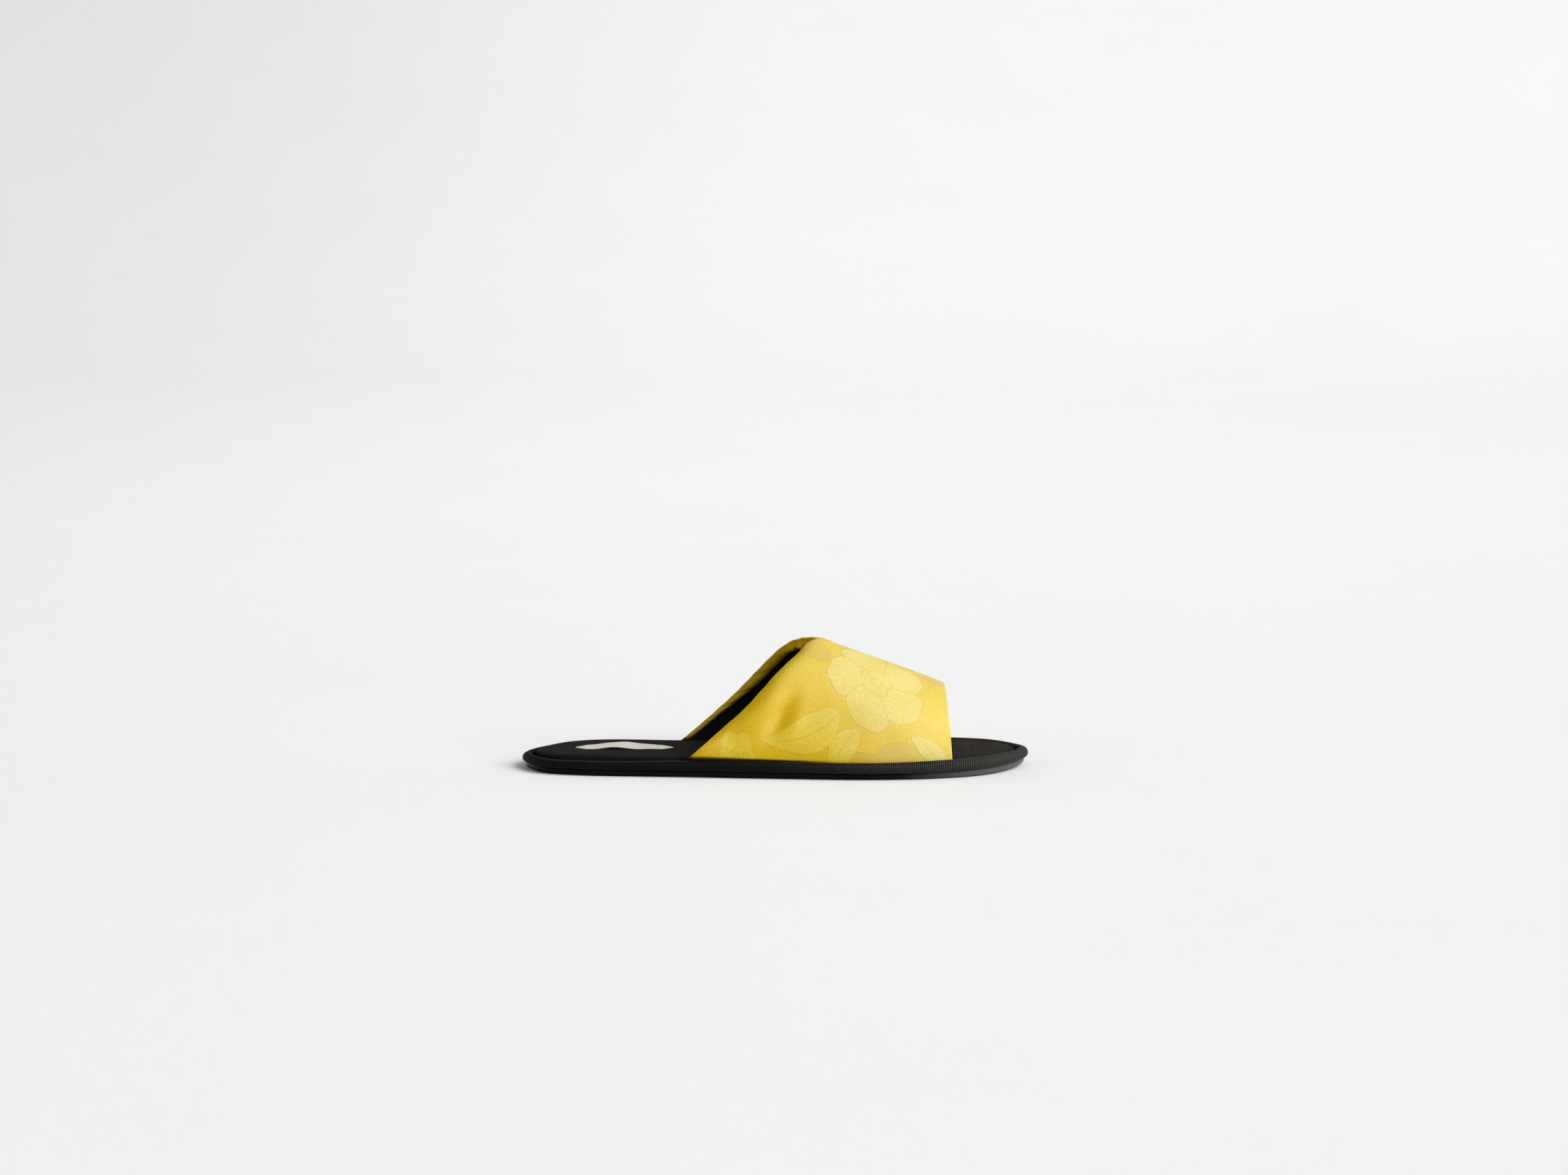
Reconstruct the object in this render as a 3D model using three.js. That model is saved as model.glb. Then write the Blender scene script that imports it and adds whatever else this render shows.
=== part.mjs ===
// Open-toe slide slipper for the right foot: a thin rubber outsole, a ribbon-wrapped edge binding, a padded
// insole, a soft woven upper whose hem stands in the groove between binding and insole, and a plain label.
// Millimetres. +X runs from heel to toe, +Y to the inner side of the foot, +Z up. The sole rests on Z = 0.
import * as THREE from "three";

// Driving dimensions
const SOLE_LENGTH = 280;
const BALL_WIDTH = 98;
const OUTSOLE_THICKNESS = 3.6;
const TOE_SPRING = 1.8;
const INSTEP_HEIGHT = 71.3;
const TOE_OPENING_HEIGHT = 45.8;
const WALL = 2;

// Fits and small sizes
const CLEARANCE = 0.3;
const OUTSOLE_INSET = 2.2;
const OUTSOLE_EDGE_ROUND = 0.8;
const SPRING_START = 78;
const BINDING_WIDTH = 5;
const BINDING_HEIGHT = 5.4;
const BINDING_SWELL = { toeOuter: 0.8, toeInner: 0.1, tip: -0.7, heel: -1.2 };
const INSOLE_SIDE_HEIGHT = 4.4;
const INSOLE_CROWN = 1.9;
const FACING_WIDTH = { foot: 3.5, crest: 8 };
const FACING_STEP = 0.8;
const FACING_FADE = 9;
const RIM_ROUND = 1.1;
const OUTER_LEAN = { reach: 3.2, power: 1.3 };
const INNER_LEAN = { reach: 11, power: 1.8 };

// How finely the curved surfaces are cut
const OUTLINE_STEPS = 120;
const HOOP_STEPS = 44;
const LENGTH_STEPS = 16;

// Places where one piece stands on another
const SEAT = OUTSOLE_THICKNESS + CLEARANCE;
const HEM_INSET = BINDING_WIDTH + 1.4 * CLEARANCE;
const INSOLE_INSET = HEM_INSET + WALL + 1.8 * CLEARANCE;

// Edge of the sole seen from above. along: share of the length from the heel. across: share of the ball width
// from the heel-to-toe axis, minus on the outer side of the foot.
const OUTLINE = [
  { place: "heel back", along: 0, across: -0.045 },
  { place: "heel corner, outer", along: 0.041, across: -0.292 },
  { place: "heel, outer", along: 0.129, across: -0.382 },
  { place: "waist, outer", along: 0.321, across: -0.436 },
  { place: "ball rear, outer", along: 0.518, across: -0.496 },
  { place: "ball, outer", along: 0.686, across: -0.529 },
  { place: "toe rear, outer", along: 0.814, across: -0.487 },
  { place: "toe, outer", along: 0.911, across: -0.382 },
  { place: "toe corner, outer", along: 0.974, across: -0.202 },
  { place: "toe tip", along: 1, across: -0.01 },
  { place: "toe corner, inner", along: 0.978, across: 0.158 },
  { place: "toe, inner", along: 0.918, across: 0.316 },
  { place: "ball, inner", along: 0.779, across: 0.443 },
  { place: "ball rear, inner", along: 0.589, across: 0.404 },
  { place: "waist, inner", along: 0.339, across: 0.334 },
  { place: "heel, inner", along: 0.136, across: 0.349 },
  { place: "heel corner, inner", along: 0.042, across: 0.202 },
];

// Hoops of the upper: throat, middle and toe. outerFoot and innerFoot: where the hem ends on each side, along
// X. crestX, crestY and crestZ: its highest point. fullness: 2 is an ellipse, more is squarer.
const HOOPS = [
  { outerFoot: -53.5, innerFoot: -58.9, crestX: 24, crestY: 6, crestZ: INSTEP_HEIGHT, fullness: 2.4 },
  { outerFoot: 22, innerFoot: 22, crestX: 59.5, crestY: 4, crestZ: 58.8, fullness: 2.4 },
  { outerFoot: 96, innerFoot: 97, crestX: 93, crestY: 2, crestZ: TOE_OPENING_HEIGHT, fullness: 2.4 },
];

// Rolled section of the binding, round from its outer nose. inward: share of its width. up: share of its
// height.
const BINDING_SECTION = [
  { inward: 0, up: 0.35 },
  { inward: 0.05, up: 0.58 },
  { inward: 0.18, up: 0.79 },
  { inward: 0.4, up: 0.94 },
  { inward: 0.64, up: 1 },
  { inward: 0.88, up: 0.95 },
  { inward: 1, up: 0.78 },
  { inward: 1, up: 0.15 },
  { inward: 0.92, up: 0 },
  { inward: 0.22, up: 0 },
  { inward: 0.06, up: 0.12 },
];

// Woven label on the heel of the insole. Its buckle is highest a little behind its middle.
const LABEL = {
  centreX: -83.6,
  centreY: 0,
  length: 54,
  width: 10.5,
  point: 6,
  thickness: 0.6,
  buckle: 1.2,
  tilt: 0.04,
  buckleX: -89.5,
  buckleReach: 19,
  steps: 18,
};

// Crown of the insole, from its rim to the middle line. inward: share of the way. rise: share of the crown.
const INSOLE_CROWN_ROWS = [
  { inward: 0, rise: 0 },
  { inward: 0.02, rise: 0.31 },
  { inward: 0.05, rise: 0.58 },
  { inward: 0.1, rise: 0.8 },
  { inward: 0.18, rise: 0.91 },
  { inward: 0.36, rise: 0.97 },
  { inward: 0.9, rise: 1 },
];

const mix = THREE.MathUtils.lerp;
const smooth = THREE.MathUtils.smoothstep;

// The sole's edge as evenly spaced points with outward normals, centred on its own box, from the heel round
// the outer side to the toe and back round the inner side.
function soleEdge() {
  const corners = OUTLINE.map((row) => {
    return new THREE.Vector3(row.along * SOLE_LENGTH, row.across * BALL_WIDTH, 0);
  });
  const curve = new THREE.CatmullRomCurve3(corners, true, "centripetal");
  const points = curve.getSpacedPoints(OUTLINE_STEPS).slice(0, OUTLINE_STEPS);
  const box = new THREE.Box3().setFromPoints(points);
  const centre = box.getCenter(new THREE.Vector3());
  const stretch = SOLE_LENGTH / (box.max.x - box.min.x);
  return points.map((point, i) => {
    const next = points[(i + 1) % OUTLINE_STEPS];
    const last = points[(i + OUTLINE_STEPS - 1) % OUTLINE_STEPS];
    const normal = new THREE.Vector2(next.y - last.y, last.x - next.x).normalize();
    return { x: (point.x - centre.x) * stretch, y: point.y - centre.y, normal };
  });
}

const EDGE = soleEdge();

// Lift of the sole towards the toe
function spring(x) {
  const share = Math.max(0, (x - SPRING_START) / (SOLE_LENGTH / 2 - SPRING_START));
  return TOE_SPRING * share * share;
}

// One point of the edge moved inward, at a height above the floor that follows the toe spring
function edgePoint(edge, inset, z) {
  const x = edge.x - edge.normal.x * inset;
  const y = edge.y - edge.normal.y * inset;
  return new THREE.Vector3(x, y, z + spring(x));
}

const edgeRing = (inset, z) => EDGE.map((edge) => edgePoint(edge, inset, z));

// Across position of the edge, moved inward, at a place along the shoe. side: -1 outer, 1 inner.
function edgeAcross(x, side, inset) {
  const toe = EDGE.reduce((best, edge, i) => (edge.x > EDGE[best].x ? i : best), 0);
  const half = side < 0 ? EDGE.slice(0, toe + 1) : [EDGE[0], ...EDGE.slice(toe).reverse()];
  const line = half.map((edge) => edgePoint(edge, inset, 0));
  const i = line.findIndex((point) => point.x > x);
  const share = (x - line[i - 1].x) / (line[i].x - line[i - 1].x);
  return mix(line[i - 1].y, line[i].y, share);
}

// Triangles that close a ring of points by rungs between its two sides, from point 0 to the point opposite
function rungs(count, first) {
  const faces = [];
  const at = (i) => first + ((i + count) % count);
  for (let i = 0; i < Math.floor(count / 2); i += 1) {
    if (i > 0) faces.push([at(i), at(i + 1), at(-i)]);
    if (i + 1 < count - i - 1) faces.push([at(i + 1), at(-i - 1), at(-i)]);
  }
  return faces;
}

// A closed surface through rings of equally many points. ends: "capped" closes the first and last ring, and
// "joined" runs the last ring back to the first.
function loft(rings, ends) {
  const count = rings[0].length;
  const faces = [];
  const spans = ends === "joined" ? rings.length : rings.length - 1;
  for (let r = 0; r < spans; r += 1) {
    const low = r * count;
    const high = ((r + 1) % rings.length) * count;
    for (let i = 0; i < count; i += 1) {
      const j = (i + 1) % count;
      faces.push([low + i, low + j, high + j], [low + i, high + j, high + i]);
    }
  }
  if (ends === "capped") {
    faces.push(...rungs(count, 0).map(([a, b, c]) => [a, c, b]));
    faces.push(...rungs(count, (rings.length - 1) * count));
  }
  return solid(rings.flat(), faces);
}

// Indexed geometry with its faces turned outward
function solid(points, faces) {
  const volume = faces.reduce((sum, [a, b, c]) => {
    return sum + points[a].dot(new THREE.Vector3().crossVectors(points[b], points[c]));
  }, 0);
  const index = volume > 0 ? faces : faces.map(([a, b, c]) => [a, c, b]);
  const geometry = new THREE.BufferGeometry().setFromPoints(points);
  geometry.setIndex(index.flat());
  geometry.computeVertexNormals();
  return geometry;
}

// Thin rubber sole: a rounded lower edge, an upright side and a flat top
function outsoleGeometry() {
  return loft(
    [
      edgeRing(OUTSOLE_INSET + OUTSOLE_EDGE_ROUND, 0),
      edgeRing(OUTSOLE_INSET, OUTSOLE_EDGE_ROUND),
      edgeRing(OUTSOLE_INSET, OUTSOLE_THICKNESS),
    ],
    "capped",
  );
}

// Ribbon wrap: the rolled section carried round the edge of the sole, fuller along the outer side of the toe
function bindingGeometry() {
  const rings = EDGE.map((edge) => {
    const toeSwell = mix(BINDING_SWELL.toeOuter, BINDING_SWELL.toeInner, smooth(edge.y, -20, 20));
    const toe = toeSwell * smooth(edge.x, 50, 95) + BINDING_SWELL.tip * smooth(edge.x, 118, 138);
    const heel = BINDING_SWELL.heel * smooth(-edge.x, 20, 110);
    const height = BINDING_HEIGHT + toe + heel;
    return BINDING_SECTION.map((row) => {
      return edgePoint(edge, row.inward * BINDING_WIDTH, SEAT + row.up * height);
    });
  });
  return loft(rings, "joined");
}

// Nearest place on the insole's middle line, which stops short of heel and toe by the local half width
function middleLine(point) {
  const rear = -SOLE_LENGTH / 2 + 0.37 * BALL_WIDTH;
  const front = SOLE_LENGTH / 2 - 0.45 * BALL_WIDTH;
  const x = THREE.MathUtils.clamp(point.x, rear, front);
  const middle = (edgeAcross(x, -1, INSOLE_INSET) + edgeAcross(x, 1, INSOLE_INSET)) / 2;
  return new THREE.Vector3(x, middle, 0);
}

// Padded footbed: an upright side and a crowned top
function insoleGeometry() {
  const rim = edgeRing(INSOLE_INSET, SEAT);
  const middles = rim.map(middleLine);
  const crown = INSOLE_CROWN_ROWS.map((row) => {
    return rim.map((point, i) => {
      const x = mix(point.x, middles[i].x, row.inward);
      const y = mix(point.y, middles[i].y, row.inward);
      return new THREE.Vector3(x, y, SEAT + INSOLE_SIDE_HEIGHT + INSOLE_CROWN * row.rise + spring(x));
    });
  });
  return loft([rim, ...crown], "capped");
}

// A hoop's sizes at a share of the way from throat to toe, on the parabola through the three rows
function hoopAt(u) {
  const [throat, middle, toe] = HOOPS;
  const weights = [2 * (u - 0.5) * (u - 1), 4 * u * (1 - u), 2 * u * (u - 0.5)];
  const size = (key) => throat[key] * weights[0] + middle[key] * weights[1] + toe[key] * weights[2];
  return Object.fromEntries(Object.keys(throat).map((key) => [key, size(key)]));
}

// Outer surface of the upper. u: 0 at the throat, 1 at the toe. v: -1 at the outer hem, 0 on the crest, 1 at
// the inner hem.
function upperPoint(u, v) {
  const hoop = hoopAt(u);
  const side = v < 0 ? -1 : 1;
  const turn = (1 - Math.abs(v)) * (Math.PI / 2);
  const reach = Math.max(0, Math.cos(turn)) ** (2 / hoop.fullness);
  const rise = Math.sin(turn) ** (2 / hoop.fullness);
  const foot = side < 0 ? hoop.outerFoot : hoop.innerFoot;
  const full = side < 0 ? OUTER_LEAN : INNER_LEAN;
  const lean = full.reach * (1 - u) ** 2 * Math.sin(Math.PI * (1 - Math.abs(v)) ** full.power);
  const x = mix(foot, hoop.crestX, rise) - lean;
  const y = mix(hoop.crestY, edgeAcross(x, side, HEM_INSET), reach);
  return new THREE.Vector3(x, y, mix(SEAT + spring(x), hoop.crestZ, rise));
}

// Directions on the upper: out of the wall, and along it towards the toe
function upperFrame(u, v) {
  const du = 0.01;
  const dv = 0.004;
  const ahead = upperPoint(Math.min(1, u + du), v).sub(upperPoint(Math.max(0, u - du), v)).normalize();
  const around = upperPoint(u, Math.min(1, v + dv)).sub(upperPoint(u, Math.max(-1, v - dv)));
  const out = new THREE.Vector3().crossVectors(ahead, around).normalize();
  return { out, ahead };
}

// Closed loop round the wall at one place across the shoe: rim of the throat, outside, rim of the toe,
// inside. The inside steps in by the facing along the throat, except close to the insole.
function wallLoop(v) {
  const edge = upperPoint(0, v);
  const hoopGap = upperPoint(0.2, v).distanceTo(edge) / 0.2;
  const facingWidth = mix(FACING_WIDTH.foot, FACING_WIDTH.crest, smooth(edge.z, 12, 55));
  const facingEnd = facingWidth / hoopGap;
  const share = (i) => (i + 0.15) / (LENGTH_STEPS - 0.85);
  const body = Array.from({ length: LENGTH_STEPS }, (_, i) => mix(facingEnd, 1, share(i)));
  const places = [0, facingEnd / 2, facingEnd, ...body];
  const outside = places.map((u) => upperPoint(u, v));
  const inside = places.map((u, i) => {
    const { out } = upperFrame(u, v);
    const height = outside[i].z - SEAT - INSOLE_SIDE_HEIGHT - INSOLE_CROWN;
    const step = u <= facingEnd ? FACING_STEP * smooth(height, 0, FACING_FADE) : 0;
    return outside[i].clone().addScaledVector(out, -WALL - step);
  });
  const last = places.length - 1;
  const rim = (i, way) => {
    const { ahead } = upperFrame(places[i], v);
    return outside[i].clone().lerp(inside[i], 0.5).addScaledVector(ahead, way * RIM_ROUND);
  };
  return [rim(0, -1), ...outside, rim(last, 1), ...inside.reverse()];
}

// Woven upper: one hollow wall from hem to hem, open at throat, toe and underneath
function upperGeometry() {
  const loops = Array.from({ length: HOOP_STEPS + 1 }, (_, i) => wallLoop((2 * i) / HOOP_STEPS - 1));
  return loft(loops, "capped");
}

// Woven label: a strip with pointed ends that lies on the insole at its ends and buckles up between them
function labelGeometry() {
  const top = SEAT + INSOLE_SIDE_HEIGHT + INSOLE_CROWN + CLEARANCE;
  const rings = Array.from({ length: LABEL.steps + 1 }, (_, i) => {
    const along = (i / LABEL.steps - 0.5) * LABEL.length;
    const fromEnd = LABEL.length / 2 - Math.abs(along);
    const half = (LABEL.width / 2) * mix(0.12, 1, Math.min(1, fromEnd / LABEL.point));
    const x = LABEL.centreX + along;
    const lift = LABEL.buckle * (1 - smooth(Math.abs(x - LABEL.buckleX), 0, LABEL.buckleReach));
    const corner = (side, z) => {
      const lean = LABEL.tilt * (side * half + LABEL.width / 2);
      return new THREE.Vector3(x, LABEL.centreY + side * half, top + lift + lean + z);
    };
    return [corner(-1, 0), corner(1, 0), corner(1, LABEL.thickness), corner(-1, LABEL.thickness)];
  });
  return loft(rings, "capped");
}

// A named piece with its own finish
function piece(name, geometry, color, roughness) {
  const material = new THREE.MeshStandardMaterial({ color, roughness, metalness: 0 });
  const mesh = new THREE.Mesh(geometry, material);
  mesh.name = name;
  return mesh;
}

const slipper = new THREE.Group();
slipper.add(piece("outsole", outsoleGeometry(), 0x17171a, 0.45));
slipper.add(piece("edge_binding", bindingGeometry(), 0x141413, 0.8));
slipper.add(piece("insole", insoleGeometry(), 0x1b1917, 0.95));
slipper.add(piece("upper", upperGeometry(), 0xdcb63c, 0.5));
slipper.add(piece("label", labelGeometry(), 0xd9d3c4, 0.7));

export default slipper;
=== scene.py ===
"""Looks of an open-toe slide slipper with a satin jacquard upper, a felt footbed and a ribbed edge ribbon.

Millimetres in the CAD frame: +X from heel to toe, +Y to the inner side, +Z up. Meshes are in metres.
"""

import math

import bmesh
import bpy
import numpy as np
from mathutils import Matrix, Vector


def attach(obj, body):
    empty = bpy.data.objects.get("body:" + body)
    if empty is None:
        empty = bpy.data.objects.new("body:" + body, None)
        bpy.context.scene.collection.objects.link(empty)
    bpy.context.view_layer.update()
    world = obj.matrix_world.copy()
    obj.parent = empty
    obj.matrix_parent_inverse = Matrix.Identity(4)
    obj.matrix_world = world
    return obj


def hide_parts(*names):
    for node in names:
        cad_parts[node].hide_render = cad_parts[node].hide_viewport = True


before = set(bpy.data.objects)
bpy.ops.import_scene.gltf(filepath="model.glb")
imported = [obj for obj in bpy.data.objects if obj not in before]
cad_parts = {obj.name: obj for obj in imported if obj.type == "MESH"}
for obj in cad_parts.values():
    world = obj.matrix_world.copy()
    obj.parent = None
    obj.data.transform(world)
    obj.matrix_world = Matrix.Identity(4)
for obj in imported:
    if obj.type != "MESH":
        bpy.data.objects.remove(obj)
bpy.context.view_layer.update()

MM = 0.001
SEED = 11

# Points between two corners of a curve, and points round the sole's edge
CURVE_STEPS = 80
EDGE_STEPS = 960

# Sizes shared with the solids
SOLE_LENGTH = 280
BALL_WIDTH = 98
OUTSOLE_THICKNESS = 3.6
TOE_SPRING = 1.8
SPRING_START = 78
INSTEP_HEIGHT = 71.3
TOE_OPENING_HEIGHT = 45.8
WALL = 2
CLEARANCE = 0.3
OUTSOLE_INSET = 2.2
BINDING_WIDTH = 5
BINDING_HEIGHT = 5.4
BINDING_SWELL = {"toe outer": 0.8, "toe inner": 0.1, "tip": -0.7, "heel": -1.2}
INSOLE_SIDE_HEIGHT = 4.4
INSOLE_CROWN = 1.9
FACING_STEP = 0.8
OUTER_LEAN, OUTER_LEAN_POWER = 3.2, 1.3
INNER_LEAN, INNER_LEAN_POWER = 11, 1.8
SEAT = OUTSOLE_THICKNESS + CLEARANCE
HEM_INSET = BINDING_WIDTH + 1.4 * CLEARANCE
INSOLE_INSET = HEM_INSET + WALL + 1.8 * CLEARANCE

# Edge of the sole from above: share of the length from the heel, share of the ball width from the axis
OUTLINE = [
    (0, -0.045), (0.041, -0.292), (0.129, -0.382), (0.321, -0.436), (0.518, -0.496), (0.686, -0.529),
    (0.814, -0.487), (0.911, -0.382), (0.974, -0.202), (1, -0.01), (0.978, 0.158), (0.918, 0.316),
    (0.779, 0.443), (0.589, 0.404), (0.339, 0.334), (0.136, 0.349), (0.042, 0.202),
]

# Rolled section of the edge ribbon: share of its width from the outer nose, share of its height
RIBBON_SECTION = [
    (0, 0.35), (0.05, 0.58), (0.18, 0.79), (0.4, 0.94), (0.64, 1), (0.88, 0.95),
    (1, 0.78), (1, 0.15), (0.92, 0), (0.22, 0), (0.06, 0.12),
]

# Hoops of the upper at throat, middle and toe
HOOPS = {
    "outer_foot": (-53.5, 22, 96),
    "inner_foot": (-58.9, 22, 97),
    "crest_x": (24, 59.5, 93),
    "crest_y": (6, 4, 2),
    "crest_z": (INSTEP_HEIGHT, 58.8, TOE_OPENING_HEIGHT),
}
HOOP_FULLNESS = 2.4


def smooth(x, low, high):
    """Smooth step from 0 at low to 1 at high."""
    t = np.clip((np.asarray(x, float) - low) / (high - low), 0, 1)
    return t * t * (3 - 2 * t)


def bell(x, half_width):
    """Round bump, 1 high at 0."""
    return np.exp(-((x / half_width) ** 2))


def unit(ways):
    """Directions made one long."""
    return ways / np.linalg.norm(ways, axis=-1, keepdims=True)


def turned(p, q, x, y, angle):
    """Distances along and across from a place, in a direction."""
    a = math.radians(angle)
    c, s = math.cos(a), math.sin(a)
    return (p - x) * c + (q - y) * s, (q - y) * c - (p - x) * s


def closed_curve(corners, count):
    """Evenly spaced points, outward normals and length of a closed curve through the corners."""
    p0, p1, p2, p3 = (np.roll(corners, k, 0) for k in (1, 0, -1, -2))
    g0, g1, g2 = (np.sqrt(np.linalg.norm(side, axis=1))[:, None] for side in (p1 - p0, p2 - p1, p3 - p2))
    m1 = ((p1 - p0) / g0 - (p2 - p0) / (g0 + g1) + (p2 - p1) / g1) * g1
    m2 = ((p2 - p1) / g1 - (p3 - p1) / (g1 + g2) + (p3 - p2) / g2) * g1
    t = np.linspace(0, 1, CURVE_STEPS, endpoint=False)[:, None, None]
    curve = p1 + m1 * t + (3 * (p2 - p1) - 2 * m1 - m2) * t**2 + (2 * (p1 - p2) + m1 + m2) * t**3
    dense = curve.transpose(1, 0, 2).reshape(-1, 2)
    dense = np.vstack([dense, dense[:1]])
    run = np.concatenate([[0], np.cumsum(np.linalg.norm(np.diff(dense, axis=0), axis=1))])
    at = np.linspace(0, run[-1], count, endpoint=False)
    points = np.stack([np.interp(at, run, dense[:, k]) for k in (0, 1)], 1)
    along = np.roll(points, -1, 0) - np.roll(points, 1, 0)
    return points, unit(np.stack([along[:, 1], -along[:, 0]], 1)), run[-1]


def sole_edge(count):
    """The sole's edge, centred on its box, from the heel round the outer side to the toe and back."""
    corners = np.array(OUTLINE) * [SOLE_LENGTH, BALL_WIDTH]
    points, normals, run = closed_curve(corners, count)
    low, high = points.min(0), points.max(0)
    points = points - (low + high) / 2
    points[:, 0] *= SOLE_LENGTH / (high[0] - low[0])
    return points, normals, run


def spring(x):
    """Lift of the sole towards the toe."""
    share = np.maximum(0, (np.asarray(x, float) - SPRING_START) / (SOLE_LENGTH / 2 - SPRING_START))
    return TOE_SPRING * share**2


EDGE, EDGE_NORMAL, EDGE_RUN = sole_edge(EDGE_STEPS)


def edge_ring(inset, z, edge, normal):
    """The edge moved inward, at a height that follows the toe spring."""
    flat = edge - normal * inset
    return np.column_stack([flat, z + spring(flat[:, 0])])


def edge_across(x, side, inset):
    """Where the edge, moved inward, is across at x. side: -1 outer, 1 inner."""
    toe = int(EDGE[:, 0].argmax())
    back = np.concatenate([[0], np.arange(len(EDGE) - 1, toe - 1, -1)])
    line = (EDGE - EDGE_NORMAL * inset)[np.arange(toe + 1) if side < 0 else back]
    order = np.argsort(line[:, 0])
    return np.interp(x, line[order, 0], line[order, 1])


# Meshes


def grid_faces(rows, columns, close_rows=False, close_columns=False):
    """Quads of a grid of points stored row by row."""
    r = np.arange(rows if close_rows else rows - 1)
    c = np.arange(columns if close_columns else columns - 1)
    r, c = np.meshgrid(r, c, indexing="ij")
    r2, c2 = (r + 1) % rows, (c + 1) % columns
    corners = [r * columns + c, r * columns + c2, r2 * columns + c2, r2 * columns + c]
    return np.stack(corners, -1).reshape(-1, 4).tolist()


def add_object(name, data):
    """A new object in the scene."""
    added = bpy.data.objects.new(name, data)
    bpy.context.scene.collection.objects.link(added)
    return added


def make_mesh(name, points, faces, materials):
    """A smooth mesh in the CAD frame."""
    mesh = bpy.data.meshes.new(name)
    mesh.from_pydata((np.asarray(points) * MM).tolist(), [], faces)
    for material in materials:
        mesh.materials.append(material)
    mesh.validate()
    mesh.polygons.foreach_set("use_smooth", np.ones(len(mesh.polygons), bool))
    return mesh


def make_piece(name, points, faces, materials):
    """A piece that rides on the shoe."""
    piece = add_object(name, make_mesh(name, points, faces, materials))
    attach(piece, "root")
    return piece


def turn_outward(piece):
    """Turns the faces of a closed mesh outward."""
    shape = bmesh.new()
    shape.from_mesh(piece.data)
    bmesh.ops.recalc_face_normals(shape, faces=shape.faces)
    shape.to_mesh(piece.data)
    shape.free()


def add_floats(piece, **values):
    """Named numbers at a mesh's points, for its materials."""
    for name, numbers in values.items():
        layer = piece.data.attributes.new(name, "FLOAT", "POINT")
        layer.data.foreach_set("value", np.asarray(numbers, np.float32))


# Materials


class Nodes:
    """Short hand for building one material."""

    def __init__(self, name, gloss=None, **sockets):
        self.material = bpy.data.materials.new(name)
        self.material.use_nodes = True
        self.tree = self.material.node_tree
        self.shader = self.tree.nodes["Principled BSDF"]
        self.fill(self.shader, Specular_IOR_Level=gloss, **sockets)

    def fill(self, node, **values):
        for socket, value in values.items():
            self.set(node.inputs[socket.replace("_", " ")], value)

    def add(self, kind, *inputs, **settings):
        node = self.tree.nodes.new("ShaderNode" + kind)
        for key, value in settings.items():
            setattr(node, key, value)
        for i, value in enumerate(inputs):
            self.set(node.inputs[i], value)
        return node

    def set(self, socket, value):
        if hasattr(value, "node"):
            self.tree.links.new(value, socket)
        elif value is not None:
            socket.default_value = (*value, 1) if socket.type == "RGBA" else value

    def math(self, operation, a, b=None, c=None):
        return self.add("Math", a, b, c, operation=operation).outputs[0]

    def times(self, a, b):
        return self.math("MULTIPLY", a, b)

    def plus(self, a, b):
        return self.math("ADD", a, b)

    def value(self, name):
        return self.add("Attribute", attribute_name=name).outputs["Fac"]

    def ramp(self, x, low, high, to_low=0, to_high=1):
        return self.add("MapRange", x, low, high, to_low, to_high, interpolation_type="SMOOTHSTEP").outputs[0]

    def mix(self, share, a, b):
        node = self.add("Mix", data_type="RGBA")
        for place, value in ((0, share), (6, a), (7, b)):
            self.set(node.inputs[place], value)
        return node.outputs[2]

    def lay(self, colour, *layers):
        """Lays colours over a colour, each by its share."""
        for share, over in layers:
            colour = self.mix(share, colour, over)
        return colour

    def noise(self, vector, scale, detail=2, roughness=0.5):
        node = self.add("TexNoise")
        self.fill(node, Vector=vector, Scale=scale, Detail=detail, Roughness=roughness)
        return node.outputs["Fac"]

    def place(self):
        return self.add("TexCoord").outputs["Object"]

    # Share that grows towards the toe, for painted light on the black parts
    def painted_light_toward_toe(self, *ends):
        return self.ramp(self.add("SeparateXYZ", self.place()).outputs[0], *ends)

    def bump(self, height, strength, distance):
        node = self.add("Bump")
        self.fill(node, Strength=strength, Distance=distance, Height=height)
        return node.outputs["Normal"]

    def finish(self, colour, **links):
        self.fill(self.shader, Base_Color=colour, **links)
        return self.material


# The way from which light is painted on the cloth, which is paler where it faces it, and the rate of the dots
# along a figure's outline
PAINTED_LIGHT_WAY = (0.6, -0.45, 0.66)
DOT_RATE = 7.4


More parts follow.
